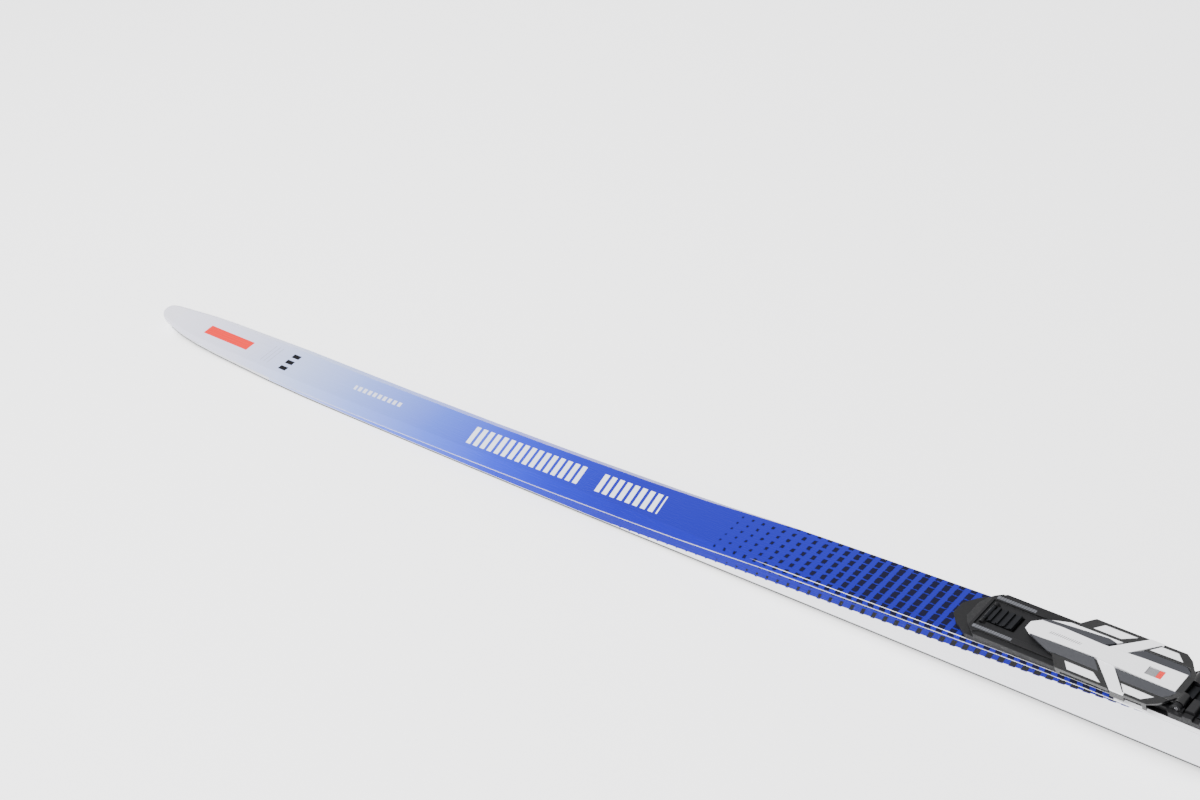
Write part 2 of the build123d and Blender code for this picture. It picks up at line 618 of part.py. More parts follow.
# ---------------------------------------------------------------- lever
ARM = [(-30.5, 4.0), (-53.0, WING_HALF), (-63.0, WING_HALF), (-43.0, 4.0)]
ARM_END = [(-53.0, WING_HALF - 1.6), (-53.0, WING_HALF), (-63.0, WING_HALF), (-63.0, WING_HALF - 1.6)]
FRONT_WINDOW = [(-15.5, 16.4), (-21.0, 22.4), (-45.5, 22.4), (-36.5, 16.4)]
REAR_WINDOW = [(-56.5, 16.4), (-61.8, 22.4), (-74.0, 22.4), (-80.5, 16.8)]
FRONT_FACET = [(LEVER_TIP - 6, 7.3), (-1.0, 14.0), (-39.0, 14.4), (-30.8, 6.2)]
REAR_FACET = [(-47.0, 7.8), (-54.8, 14.6), (-84.5, 14.6), (-88.5, 11.5), (-91.0, 7.8)]
FRONT_FRAME = [(-5.0, 14.6), (-11.5, 22.6), (WING_FRONT - 1.5, WING_HALF), (-52.0, WING_HALF), (-42.0, 14.6)]
REAR_FRAME = [(-54.0, 14.8), (-63.0, WING_HALF), (WING_REAR + 9, WING_HALF), (WING_REAR + 3, 20.5),
              (WING_REAR - 1.5, 14.8)]


def sided(points, side):
    return [(x, side * y) for x, y in points]


def make_lever():
    """White lever body: a spine with a blunt six-sided front, two arms and two hubs."""
    half_spine = [(LEVER_TIP, 3.2), (LEVER_TIP - 6, 7.3), (-30.0, 5.8), (-46.0, 6.6), (-60.0, 7.4), (-92.0, 7.8),
                  (AXIS_X - 2.6, 7.8)]
    with BuildPart() as lever_body:
        side_slab([(LEVER_TIP + 1, 46.4), (LEVER_TIP + 1, 47.6), (LEVER_TIP - 22, SPINE_TOP),
                   (AXIS_X - 4, SPINE_TOP), (AXIS_X - 4, SPINE_TOP - 1.1), (AXIS_X + 8, SPINE_TOP - 2.4),
                   (-12, SPINE_TOP - 2.6), (LEVER_TIP - 4, 46.0)], 40)
        plan_slab(mirrored_outline(half_spine), 0, 80, mode=Mode.INTERSECT)
        for side in (1, -1):
            # wing web under the frames and facets, then the arm that crosses it
            plan_slab(sided([(LEVER_TIP - 7, 5.0), (-1.0, 13.8), (-5.4, 14.8), (-11.5, 22.2), (WING_FRONT - 1.5, 23.4),
                             (WING_REAR + 9, 23.4), (WING_REAR + 3.2, 20.2), (WING_REAR - 1.2, 14.8),
                             (-92.0, 9.0), (-92.0, 5.0)], side),
                      WING_BOTTOM, WING_BOTTOM + 1.0)
            plan_slab(sided(ARM, side), WING_BOTTOM + 0.5, WING_TOP + 0.4)
            # end of the arm, turned down over the ski's edge
            plan_slab(sided(ARM_END, side), 42.4, WING_TOP + 0.4)
            plan_slab(sided(FRONT_WINDOW, side), WING_BOTTOM + 0.5, WING_TOP - 0.3)
            plan_slab(sided(REAR_WINDOW, side), WING_BOTTOM + 0.5, WING_TOP - 0.3)
        # pocket in the spine that shows the steel latch and its red mark
        block((SHUT_MARK[0] - 0.2, LATCH[1] + 0.2), (-LATCH_HALF - 0.2, LATCH_HALF + 0.2), (SPINE_TOP - 1.6, 60),
              mode=Mode.SUBTRACT)
        block((AXIS_X - 10, LEVER_BODY_REAR), (-30, 30), (30, 60), mode=Mode.SUBTRACT)
    finish(lever_body, "lever_body")


def make_lever_hinge_end():
    """Dark rear end of the lever: a chamfered bumper behind the white body, and the two hubs."""
    bumper = [(LEVER_BODY_REAR, 7.7), (-91.2, 7.7), (-88.8, 11.8), (-84.8, 14.7), (-89.6, 14.7), (-93.6, 10.2),
              (-94.4, 7.0)]
    crank_x, crank_z = crank_centre()
    with BuildPart() as lever_hinge_end:
        plan_slab(mirrored_outline(bumper), WING_BOTTOM + 1.0, SPINE_TOP - 0.2)
        # slope its top down to the wing at both sides
        for side in (1, -1):
            with BuildSketch(Plane.YZ.offset(-100)) as slope:
                with BuildLine():
                    Polyline(*[(side * y, z) for y, z in ((7.4, 60), (7.4, SPINE_TOP - 0.2), (15.0, WING_TOP),
                                                          (30, WING_TOP - 2), (30, 60))], close=True)
                make_face()
            extrude(slope.sketch, amount=30, mode=Mode.SUBTRACT)
        block((-93.6, LEVER_BODY_REAR), (-10.2, 10.2), (WING_BOTTOM + 0.2, WING_BOTTOM + 1.0))
        for side in (1, -1):
            cross_pin(AXIS_X, AXIS_Z, HUB_RADIUS, (side * HUB_INNER, side * HUB_OUTER))
            block((AXIS_X, LEVER_BODY_REAR), (side * HUB_INNER, side * HUB_OUTER), (AXIS_Z, WING_BOTTOM + 1.0))
            cross_pin(AXIS_X, AXIS_Z, LEVER_PIN_RADIUS + PIN_CLEARANCE,
                      (side * (HUB_INNER + 2.5), side * (HUB_OUTER + 1)), mode=Mode.SUBTRACT)
        cross_pin(crank_x, crank_z, CRANK_PIN_RADIUS, (-8.2, 8.2), mode=Mode.SUBTRACT)
    finish(lever_hinge_end, "lever_hinge_end")


def make_lever_trim():
    for side, hand in ((1, "left"), (-1, "right")):
        with BuildPart() as frame:
            for outer, window in ((FRONT_FRAME, FRONT_WINDOW), (REAR_FRAME, REAR_WINDOW)):
                plan_slab(sided(outer, side), WING_BOTTOM + 1.0, WING_TOP)
                plan_slab(sided(window, side), 40, 60, mode=Mode.SUBTRACT)
            # rim that hangs below the wing's edge and the legs at its two ends
            for points in (FRONT_FRAME[2:4], REAR_FRAME[1:3]):
                (x_front, _), (x_rear, _) = points
                block((x_rear, x_front), (side * (WING_HALF - 1.0), side * WING_HALF),
                      (WING_BOTTOM - 0.2, WING_TOP - 0.5))
            block((WING_FRONT - 5.0, WING_FRONT - 2.0), (side * (WING_HALF - 1.0), side * WING_HALF),
                  (43.4, WING_TOP - 0.5))
            block((WING_REAR + 9.0, WING_REAR + 12.0), (side * (WING_HALF - 1.0), side * WING_HALF),
                  (42.4, WING_TOP - 0.5))
            plan_slab(sided(ARM, side), 30, 60, mode=Mode.SUBTRACT)
            plan_slab(sided(ARM_END, side), 30, 60, mode=Mode.SUBTRACT)
        finish(frame, f"lever_frame_{hand}")
        with BuildPart() as facets:
            for outline in (FRONT_FACET, REAR_FACET):
                plan_slab(sided(outline, side), WING_BOTTOM + 1.0, SPINE_TOP - 0.4)
            # slope the top from the spine down to the wing
            with BuildSketch(Plane.YZ.offset(-100)):
                with BuildLine():
                    Polyline(*[(side * y, z) for y, z in ((7.4, 60), (7.4, SPINE_TOP - 0.5),
                                                          (15.0, WING_TOP - 0.2), (30, WING_TOP - 2), (30, 60))],
                             close=True)
                make_face()
            extrude(amount=130, mode=Mode.SUBTRACT)
        finish(facets, f"lever_facets_{hand}")


def make_lever_steel():
    crank_x, crank_z = crank_centre()
    with BuildPart() as crank_pin:
        cross_pin(crank_x, crank_z, CRANK_PIN_RADIUS, (-8.2, 8.2))
    finish(crank_pin, "crank_pin")
    with BuildPart() as latch_window:
        block(LATCH, (-LATCH_HALF, LATCH_HALF), (SPINE_TOP - 1.6, SPINE_TOP - 0.5))
    finish(latch_window, "latch_window")
    with BuildPart() as shut_mark:
        block(SHUT_MARK, (-LATCH_HALF, LATCH_HALF), (SPINE_TOP - 1.6, SPINE_TOP - 0.4))
    finish(shut_mark, "shut_mark")


# ---------------------------------------------------------------- heel unit
HEEL_TOP = [(HEEL_FRONT, 53.0), (-240.0, 54.6), (-275.0, 57.0), (-312.0, 58.6), (-328.0, 58.2),
            (-345.0, 54.0), (-368.0, 47.6), (HEEL_REAR, 44.6)]
HEEL_CUTOUTS = ((-224.0, -240.0), (-292.0, -308.0))


def top_height(x):
    """Height of the heel shell's top outline at X."""
    for (front, high), (rear, low) in zip(HEEL_TOP, HEEL_TOP[1:]):
        if rear <= x <= front:
            return high + (low - high) * (front - x) / (front - rear)
    raise ValueError(x)


def make_heel_base():
    with BuildPart() as heel_base:
        block((-380.0, HEEL_FRONT - 3), (-18.4, 18.4), (UNDERSIDE, HEEL_BASE_TOP))
        block((HEEL_REAR + 2.5, -379.0), (-18.4, 18.4), (UNDERSIDE, 42.4))
        block((HEEL_CLAMP_X - CLAMP_LENGTH - 20, HEEL_CLAMP_X + 8), (-12.4, 12.4), (FLOOR_TOP, 60),
              mode=Mode.SUBTRACT)
        block((HEEL_CLAMP_X - CLAMP_LENGTH - 1.5, HEEL_CLAMP_X + 2.2), (-CLAMP_HALF - 0.4, CLAMP_HALF + 0.4),
              (30, 60), mode=Mode.SUBTRACT)
        for front, rear in HEEL_CUTOUTS:
            for side in (1, -1):
                block((rear + 0.5, front - 0.5), (side * 18.0, side * HEEL_HALF), (UNDERSIDE, 43.6))
        clamp_housing(HEEL_CLAMP_X)
        rail_channel(HEEL_FRONT + 5, HEEL_REAR - 5)
    finish(heel_base, "heel_base")


def make_heel_shell():
    inner_top = [(x, z - 2.0) for x, z in HEEL_TOP]
    inner_top[0] = (HEEL_FRONT - HEEL_WALL, inner_top[0][1])
    inner_top[-1] = (HEEL_REAR - 2, inner_top[-1][1])
    with BuildPart() as heel_shell:
        side_slab([(HEEL_FRONT, UNDERSIDE)] + HEEL_TOP + [(HEEL_REAR, UNDERSIDE)], HEEL_HALF)
        long_edges = heel_shell.edges().filter_by(lambda e: e.length > 10 and e.center().Z > 45
                                                  and abs(e.center().Y) > HEEL_HALF - 0.1)
        chamfer(long_edges, 1.6)
        side_slab([(HEEL_FRONT - HEEL_WALL, 30)] + inner_top + [(HEEL_REAR - 2, 30)], HEEL_HALF - HEEL_WALL,
                  mode=Mode.SUBTRACT)
        rail_channel(HEEL_FRONT + 5, HEEL_REAR - 5)
        # skirt cut-outs, pad recesses in the top and the window over the clamp
        for front, rear in HEEL_CUTOUTS:
            block((rear, front), (-30, 30), (30, 44.0), mode=Mode.SUBTRACT)
        block((HEEL_REAR - 3, HEEL_CLAMP_X + 4.5), (-10.5, 10.5), (30, 60), mode=Mode.SUBTRACT)
        for front, rear, half in PADS.values():
            pad_recess(front, rear, half)
        block(STOP_SEAT, (-17.0, 17.0), (STOP_BOTTOM, 70), mode=Mode.SUBTRACT)
    finish(heel_shell, "heel_shell")


PADS = {
    "heel_pad_front": (-211.0, -241.0, 15.0),
    "heel_pad_middle": (-251.0, -309.0, 15.0),
    "heel_pad_rear": (-331.5, -363.0, 15.0),
}
STOP_SEAT = (-328.5, -313.0)
STOP_BOTTOM = 57.4
PAD_SUNK = 0.8
PAD_PROUD = 0.7


def pad_line(front, rear, rise):
    """Points along the shell's top between two X values, raised by rise."""
    inner = [(x, z) for x, z in HEEL_TOP if rear < x < front]
    points = [(front, top_height(front))] + inner + [(rear, top_height(rear))]
    return [(x, z + rise) for x, z in points]


def pad_recess(front, rear, half):
    side_slab(pad_line(front, rear, -PAD_SUNK) + list(reversed(pad_line(front, rear, 6))), half,
              mode=Mode.SUBTRACT)


def make_heel_pads():
    for name, (front, rear, half) in PADS.items():
        with BuildPart() as pad:
            side_slab(pad_line(front, rear, -PAD_SUNK) + list(reversed(pad_line(front, rear, PAD_PROUD))), half)
        finish(pad, name)
    with BuildPart() as heel_stop:
        side_slab([(STOP_SEAT[1], STOP_BOTTOM), (STOP_SEAT[1], 60.4), (STOP_SEAT[0] + 2, 60.4),
                   (STOP_SEAT[0], 59.4), (STOP_SEAT[0], STOP_BOTTOM)], 17.0)
    finish(heel_stop, "heel_stop")


# ---------------------------------------------------------------- build everything
make_base()
make_lower_laminate()
make_top_layers()
make_inside()
make_end_pieces()
make_plate()
make_screws()
make_toe_base()
make_clamp(TOE_CLAMP_X, ("position_clamp", "position_clamp_pin", "position_clamp_spring"))
make_toe_details()
make_guide_rail()
make_jaw()
make_lever()
make_lever_hinge_end()
make_lever_trim()
make_lever_steel()
make_heel_base()
make_heel_shell()
make_heel_pads()
make_clamp(HEEL_CLAMP_X, ("heel_clamp", "heel_clamp_pin", "heel_clamp_spring"))
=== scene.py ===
import json
import math
import bpy
from mathutils import Matrix, Vector


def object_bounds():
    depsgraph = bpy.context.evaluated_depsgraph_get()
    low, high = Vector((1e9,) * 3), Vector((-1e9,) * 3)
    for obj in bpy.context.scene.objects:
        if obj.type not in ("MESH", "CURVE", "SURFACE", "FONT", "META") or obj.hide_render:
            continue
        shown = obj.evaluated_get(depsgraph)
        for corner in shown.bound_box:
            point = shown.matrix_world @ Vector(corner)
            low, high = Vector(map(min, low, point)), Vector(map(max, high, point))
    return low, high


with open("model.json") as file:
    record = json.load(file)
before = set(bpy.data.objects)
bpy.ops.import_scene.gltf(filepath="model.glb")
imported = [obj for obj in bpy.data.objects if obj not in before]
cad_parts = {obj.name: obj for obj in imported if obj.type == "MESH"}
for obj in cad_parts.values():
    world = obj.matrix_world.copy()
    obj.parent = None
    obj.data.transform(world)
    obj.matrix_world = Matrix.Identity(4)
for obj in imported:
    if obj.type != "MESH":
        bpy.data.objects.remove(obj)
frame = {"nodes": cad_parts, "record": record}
CAD_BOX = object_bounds()

# The camera, in radians, metres and pixels of a 1200 x 800 picture.
CAMERA_AZIMUTH = 0.8931
CAMERA_ELEVATION = 0.6363
CAMERA_ROLL = -0.2748
CAMERA_DISTANCE = 1.7307
CAMERA_FOCAL_PIXELS = 2405.0
CAMERA_TARGET = Vector((0.3812, 0.0, 0.1057))
PICTURE_WIDTH = 1200.0
SENSOR_WIDTH = 36.0

# The studio: emission, world strength, watts, and metres.
FLOOR_GLOW = 1.1
SKY_STRENGTH = 0.9
KEY_POWER = 95.0
FILL_POWER = 8.0
FLOOR_SIZE = 14.0
FLOOR_GAP = 0.0002

# Places along the ski are in millimetres from its tip, as on the CAD model.
TIP_MM = CAD_BOX[1][0] * 1000.0
SKI_LENGTH_MM = (CAD_BOX[1][0] - CAD_BOX[0][0]) * 1000.0

# The print of small dark squares.
SQUARE_FIRST = 657.6
SQUARE_STEP = 9.42
SQUARE_ROW_STEP = 6.6
SQUARE_ROW_SHIFT = -0.6
SQUARE_SOFT = 0.3
WHITE_STARTS = 1262.0
SQUARES_FADE = (1450.0, 1690.0)

# The plain bars on the top sheet, start and end.
SMALL_BARS = (248.0, 306.0)
LARGE_BARS = ((386.0, 510.0), (526.0, 592.0))

# The lever's upper faces stand above this height, in millimetres, and the web below its wings doesn't.
LEVER_WHITE_ABOVE = 47.4

# The white lower part of the sidewall climbs towards the binding: height in millimetres above the
# running base's lowest line, from BAND_START on, as a quadratic in the distance along the ski.
BAND_START = 560.0
BAND_HEIGHT = 4.2
BAND_SLOPE = 0.0603
BAND_CURVE = 2.82e-5


def tint(red, green, blue):
    """A display colour, 0 to 255, as the linear colour that a shader takes."""
    def linear(value):
        value /= 255.0
        return value / 12.92 if value <= 0.04045 else ((value + 0.055) / 1.055) ** 2.4
    return (linear(red), linear(green), linear(blue), 1.0)


PALE = tint(226, 225, 238)
WHITE = tint(240, 240, 244)
INK = tint(10, 10, 16)
RED = tint(222, 38, 34)
ROYAL = tint(8, 4, 150)

# The slanted bars on the sidewall behind the binding: where each starts, and its colour.
REAR_BARS = ((1281.0, RED), (1294.0, ROYAL), (1307.0, RED))
REAR_BAR_WIDTH = 10.0

# Colour of the top sheet along the ski, up to the white rear part.
TOP_STOPS = (
    (0.0, PALE), (110.0, tint(204, 206, 228)), (180.0, tint(172, 186, 228)), (260.0, tint(126, 148, 224)),
    (350.0, tint(74, 100, 212)), (430.0, tint(32, 50, 196)), (490.0, tint(12, 22, 172)),
    (560.0, ROYAL), (900.0, tint(10, 4, 132)))


class Paint:
    """A node material under construction. Each method adds nodes and returns an output socket."""

    def __init__(self, name, **values):
        self.material = bpy.data.materials.new(name)
        self.material.use_nodes = True
        self.tree = self.material.node_tree
        self.shader = self.tree.nodes["Principled BSDF"]
        for key, value in values.items():
            self.shader.inputs[key.replace("_", " ").title().replace("Ior", "IOR")].default_value = value
        self.coordinates = self.tree.nodes.new("ShaderNodeTexCoord").outputs["Object"]
        self._place = None
        self.normal = None

    def link(self, value, socket):
        if isinstance(value, bpy.types.NodeSocket):
            self.tree.links.new(value, socket)
        else:
            socket.default_value = value

    def math(self, operation, *values, clamp=False):
        node = self.tree.nodes.new("ShaderNodeMath")
        node.operation = operation
        node.use_clamp = clamp
        for value, socket in zip(values, node.inputs):
            self.link(value, socket)
        return node.outputs[0]

    def place(self):
        """Distance from the tip, distance to the left and height, in millimetres."""
        if self._place is None:
            parts = self.tree.nodes.new("ShaderNodeSeparateXYZ")
            self.tree.links.new(self.coordinates, parts.inputs[0])
            x, y, z = (self.math("MULTIPLY", axis, 1000.0) for axis in parts.outputs)
            self._place = (self.math("SUBTRACT", TIP_MM, x), y, z)
        return self._place

    def span(self, value, low, high, to_low=0.0, to_high=1.0):
        """Value mapped from low..high to to_low..to_high and held at its ends."""
        node = self.tree.nodes.new("ShaderNodeMapRange")
        for socket, number in zip(node.inputs, (value, low, high, to_low, to_high)):
            self.link(number, socket)
        return node.outputs[0]

    def all_of(self, *masks):
        mask = masks[0]
        for other in masks[1:]:
            mask = self.math("MULTIPLY", mask, other)
        return mask

    def any_of(self, *masks):
        mask = masks[0]
        for other in masks[1:]:
            mask = self.math("MAXIMUM", mask, other)
        return mask

    def within(self, value, centre, half, soft=0.3):
        """1 where value is nearer than half to centre, with an edge soft wide."""
        away = self.math("ABSOLUTE", self.math("SUBTRACT", value, centre))
        return self.math("DIVIDE", self.math("SUBTRACT", half, away), soft, clamp=True)

    def between(self, value, low, high, soft=0.3):
        return self.all_of(self.math("DIVIDE", self.math("SUBTRACT", value, low), soft, clamp=True),
                           self.math("DIVIDE", self.math("SUBTRACT", high, value), soft, clamp=True))

    def mix(self, factor, first, second):
        node = self.tree.nodes.new("ShaderNodeMix")
        node.data_type = "RGBA"
        for socket, value in zip((node.inputs[0], node.inputs[6], node.inputs[7]), (factor, first, second)):
            self.link(value, socket)
        return node.outputs[2]

    def ramp(self, factor, stops, length):
        node = self.tree.nodes.new("ShaderNodeValToRGB")
        band = node.color_ramp.elements
        while len(band) < len(stops):
            band.new(0.5)
        for element, (position, shade) in zip(band, stops):
            element.position = position / length
            element.color = shade
        self.link(self.math("DIVIDE", factor, length), node.inputs[0])
        return node.outputs["Color"]

    def noise(self, size_mm, detail=2.0, stretch=(1.0, 1.0, 1.0)):
        """Noise with features about size_mm across, longer by stretch along each axis."""
        scaled = self.tree.nodes.new("ShaderNodeVectorMath")
        scaled.operation = "MULTIPLY"
        self.tree.links.new(self.coordinates, scaled.inputs[0])
        scaled.inputs[1].default_value = [1000.0 / (size_mm * amount) for amount in stretch]
        node = self.tree.nodes.new("ShaderNodeTexNoise")
        node.inputs["Scale"].default_value = 1.0
        node.inputs["Detail"].default_value = detail
        self.tree.links.new(scaled.outputs[0], node.inputs["Vector"])
        return node.outputs["Fac"]

    def soften_edges(self, radius_mm):
        """Moulded edges: the shading turns over a small radius at each edge."""
        node = self.tree.nodes.new("ShaderNodeBevel")
        node.samples = 4
        node.inputs["Radius"].default_value = radius_mm / 1000.0
        self.normal = node.outputs[0]
        self.link(self.normal, self.shader.inputs["Normal"])

    def bump(self, height, depth_mm, strength=1.0):
        """Relief depth_mm deep for a height of 0 to 1, on top of what is there already."""
        node = self.tree.nodes.new("ShaderNodeBump")
        node.inputs["Strength"].default_value = strength
        node.inputs["Distance"].default_value = depth_mm / 1000.0
        self.link(height, node.inputs["Height"])
        if self.normal is not None:
            self.link(self.normal, node.inputs["Normal"])
        self.normal = node.outputs[0]
        self.link(self.normal, self.shader.inputs["Normal"])

    def colour(self, value):
        self.link(value, self.shader.inputs["Base Color"])

    def roughness(self, value):
        self.link(value, self.shader.inputs["Roughness"])


def squares(paint, across, half_along, half_across):
    """The grid of small squares: along the ski and across, each half given as a number or socket."""
    along = paint.place()[0]
    wander = paint.math("MULTIPLY", paint.math("SUBTRACT", paint.noise(1.6, 1.0), 0.5), 1.3)
    masks = []
    for value, first, step, half in ((along, SQUARE_FIRST, SQUARE_STEP, half_along),
                                     (across, SQUARE_ROW_SHIFT, SQUARE_ROW_STEP, half_across)):
        cell = paint.math("DIVIDE", paint.math("SUBTRACT", value, first), step)
        away = paint.math("ABSOLUTE", paint.math("SUBTRACT", cell, paint.math("ROUND", cell)))
        near = paint.math("ADD", paint.math("MULTIPLY", away, step), wander)
        masks.append(paint.math("DIVIDE", paint.math("SUBTRACT", half, near), SQUARE_SOFT, clamp=True))
    return paint.all_of(*masks)


def square_growth(paint, small, large):
    """Half a square's side: nothing before the first, growing to the binding, shrinking behind it."""
    along = paint.place()[0]
    grown = paint.span(along, SQUARE_FIRST - 5.0, SQUARE_FIRST + 130.0, small, large)
    started = paint.span(along, SQUARE_FIRST - 5.0, SQUARE_FIRST - 4.0, -1.0, 0.0)
    faded = paint.span(along, SQUARES_FADE[0], SQUARES_FADE[1], 0.0, -large - 1.0)
    return paint.math("ADD", paint.math("ADD", grown, started), faded)


def top_marks(paint):
    """The plain printed bars on the front of the top sheet: (mask, colour) pairs."""
    along, across, _ = paint.place()
    slanted = paint.math("SUBTRACT", along, paint.math("MULTIPLY", across, 0.25))
    emblem = paint.all_of(paint.within(along, 86.0, 29.0), paint.within(across, 1.0, 5.5))
    dashes = paint.any_of(*(paint.all_of(paint.within(along, 167.0, 4.6), paint.within(across, place, 2.4))
                            for place in (-7.0, 1.0, 9.0)))
    rules = paint.any_of(*(paint.all_of(paint.within(along, 138.0 + 4.5 * k, 0.5),
                                        paint.within(across, 0, 10.5))
                           for k in range(3)))
    small = paint.all_of(paint.between(slanted, *SMALL_BARS), paint.within(across, -0.5, 2.6),
                         paint.within(paint.math("PINGPONG", slanted, 6.0), 3.0, 2.0))
    large = paint.all_of(paint.any_of(*(paint.between(slanted, *ends) for ends in LARGE_BARS)),
                         paint.within(across, 1.5, 9.6),
                         paint.within(paint.math("PINGPONG", slanted, 7.75), 3.9, 2.5))
    return ((emblem, RED), (dashes, INK), (paint.math("MULTIPLY", rules, 0.5), tint(120, 122, 140)),
            (paint.math("MULTIPLY", small, 0.75), WHITE), (large, tint(236, 240, 252)))


def ski_finish(paint):
    """Gloss lacquer: faint waviness, and hair scratches along the ski."""
    paint.bump(paint.noise(9.0, 2.0), 0.02, 0.35)
    scratches = paint.noise(0.5, 2.0, (60.0, 1.0, 1.0))
    paint.roughness(paint.span(scratches, 0.35, 0.75, 0.2, 0.34))


def top_paint():
    paint = Paint("top_print", specular_ior_level=0.12)
    along, across, _ = paint.place()
    shade = paint.ramp(along, TOP_STOPS, SKI_LENGTH_MM)
    cloud = paint.math("MULTIPLY", paint.noise(160.0, 1.0, (3.0, 1.0, 1.0)), 0.05)
    shade = paint.mix(cloud, shade, tint(150, 158, 236))
    shade = paint.mix(paint.span(along, WHITE_STARTS, WHITE_STARTS + 1.0), shade, WHITE)
    for mask, ink in top_marks(paint):
        shade = paint.mix(mask, shade, ink)
    grid = squares(paint, across, square_growth(paint, 1.0, 2.7), square_growth(paint, 1.0, 3.1))
    shade = paint.mix(paint.math("MULTIPLY", grid, 0.94), shade, INK)
    shoulder = paint.math("GREATER_THAN", paint.math("ABSOLUTE", across), 20.25)
    shade = paint.mix(paint.all_of(shoulder, paint.span(along, 988.0, 989.0)), shade, WHITE)
    # Painted highlight: a thin white line along the left top edge, about 20 mm out, from 690 mm to the white
    # rear part, where the rounded edge catches the light.
    edge = paint.span(along, 685.0, 870.0, 19.4, 20.1)
    painted_highlight = paint.all_of(paint.within(across, edge, 0.34, 0.2),
                        paint.between(along, 690.0, WHITE_STARTS, 30.0))
    shade = paint.mix(painted_highlight, shade, WHITE)
    paint.colour(shade)
    ski_finish(paint)
    return paint.material


def side_paint():
    """Sidewalls: blue above, white below a ragged line that climbs to the binding, white behind it."""
    paint = Paint("side_print", specular_ior_level=0.04)
    along, _, height = paint.place()
    blue = paint.ramp(along, ((0.0, PALE), (160.0, tint(170, 184, 232)), (300.0, tint(70, 98, 220)),
                              (430.0, tint(16, 34, 186)), (560.0, tint(6, 8, 150)),
                              (900.0, tint(4, 4, 126))), SKI_LENGTH_MM)
    run = paint.math("SUBTRACT", along, BAND_START)
    edge = paint.math("ADD", BAND_HEIGHT, paint.math("MULTIPLY", run, paint.math(
        "MULTIPLY_ADD", run, BAND_CURVE, BAND_SLOPE)))
    above = paint.math("SUBTRACT", height, edge)
    half = paint.span(along, SQUARE_FIRST, 1000.0, 0.9, 3.2)
    column = lean_columns(paint, paint.math("MULTIPLY", above, 0.6), half)
    rows = paint.any_of(*(paint.within(above, middle, paint.span(along, SQUARE_FIRST, 780.0, 0.8, tall), 0.4)
                          for middle, tall in ((2.9, 3.2), (9.9, 2.6), (16.4, 2.4))))
    grid = paint.all_of(column, rows, paint.math("GREATER_THAN", along, SQUARE_FIRST - 6.0))
    ragged = paint.math("ADD", above, paint.math("MULTIPLY", column, 0.8))
    white = paint.any_of(paint.span(ragged, 0.3, -0.3), paint.span(along, WHITE_STARTS, WHITE_STARTS + 1.0))
    shade = paint.mix(white, blue, WHITE)
    front = paint.math("LESS_THAN", along, WHITE_STARTS)
    shade = paint.mix(paint.all_of(grid, front, paint.math("SUBTRACT", 1.0, paint.math(
        "MULTIPLY", white, paint.math("LESS_THAN", above, 0.0)))), shade, INK)
    shade = rear_side_marks(paint, shade)
    paint.colour(shade)
    ski_finish(paint)
    return paint.material


def lean_columns(paint, shift, half):
    """Stripes across the sidewall at the squares' step, leaning back by shift."""
    leaning = paint.math("SUBTRACT", paint.place()[0], shift)
    cell = paint.math("DIVIDE", paint.math("SUBTRACT", leaning, SQUARE_FIRST), SQUARE_STEP)
    off = paint.math("MULTIPLY", paint.math("ABSOLUTE", paint.math(
        "SUBTRACT", cell, paint.math("ROUND", cell))), SQUARE_STEP)
    return paint.math("DIVIDE", paint.math("SUBTRACT", half, off), SQUARE_SOFT, clamp=True)


def rear_side_marks(paint, shade):
    """Behind the binding: slanted red and blue bars, a row of squares and a small blue one."""
    along, _, height = paint.place()
    slanted = paint.math("ADD", along, paint.math("MULTIPLY", height, 0.5))
    band = paint.between(height, 12.0, 29.0)
    for start, ink in REAR_BARS:
        bar = paint.all_of(paint.between(slanted, start, start + REAR_BAR_WIDTH), band)
        shade = paint.mix(bar, shade, ink)
    grown = paint.span(along, 1330.0, 1480.0, 1.9, 0.4)
    rows = [paint.within(height, low, 1.9) for low in (15.0, 21.6, 28.2)]
    column = lean_columns(paint, paint.math("MULTIPLY", height, 0.5), grown)
    grid = paint.all_of(column, paint.any_of(*rows), paint.between(along, 1320.0, 1476.0))
    shade = paint.mix(grid, shade, INK)
    small_square = paint.all_of(paint.within(along, 1489.0, 8.0), paint.within(height, 19.0, 5.0))
    return paint.mix(small_square, shade, ROYAL)


def gloss_shell(name, shade, rough=0.3):
    """Smooth moulded plastic, with a faint flow ripple and rounded edges."""
    paint = Paint(name, coat_weight=0.25, coat_roughness=0.15)
    paint.soften_edges(0.35)
    paint.bump(paint.noise(6.0, 2.0), 0.03, 0.3)
    paint.roughness(paint.span(paint.noise(2.5, 3.0), 0.3, 0.7, rough - 0.05, rough + 0.06))
    dust = paint.span(paint.noise(14.0, 3.0), 0.35, 0.8, 0.0, 0.12)
    paint.colour(paint.mix(dust, shade, tuple(0.82 * part for part in shade[:3]) + (1.0,)))
    return paint.material


